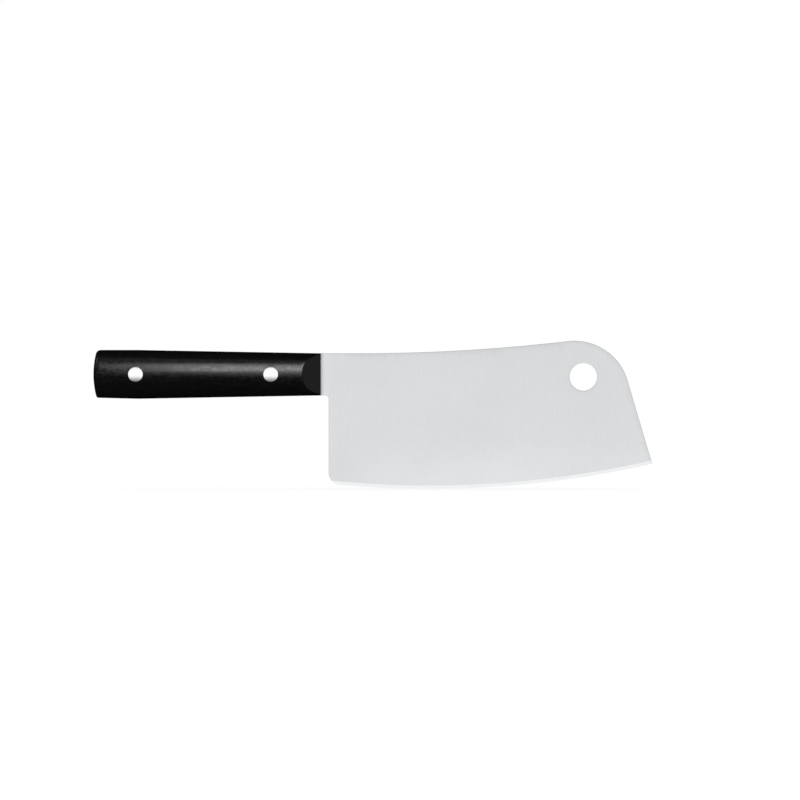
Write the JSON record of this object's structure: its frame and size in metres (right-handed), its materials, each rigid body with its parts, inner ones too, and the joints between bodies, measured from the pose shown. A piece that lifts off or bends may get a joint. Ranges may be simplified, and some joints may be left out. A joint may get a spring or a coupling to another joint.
{
  "type": "kitchen cleaver",
  "caption": "Broad full-tang kitchen cleaver with a rounded nose, a hollowed spine, a hanging hole and a riveted black handle, for chopping meat and bone on a board.",
  "frame": {"origin": "middle of the overall length, in the mid-plane of the blade, on the level that the lowest point of the edge touches", "axes": "+X runs from the butt of the handle to the tip of the blade, +Z from the cutting edge up to the spine, and +Y across the blade to the left of a user who holds it edge down with the tip forward"},
  "size_m": [0.303, 0.0202, 0.0804],
  "materials": {
    "blade_steel": "satin ground stainless steel with a brighter cutting bevel",
    "handle_black": "black resin-treated hardwood, rubbed to a soft satin",
    "rivet_steel": "polished stainless steel, ground flush with the scales"
  },
  "bodies": {
    "root": {"blade": "blade_steel", "left_scale": "handle_black", "right_scale": "handle_black", "front_rivet_post": "rivet_steel", "front_rivet_socket": "rivet_steel", "rear_rivet_post": "rivet_steel", "rear_rivet_socket": "rivet_steel"}
  },
  "joints": []
}
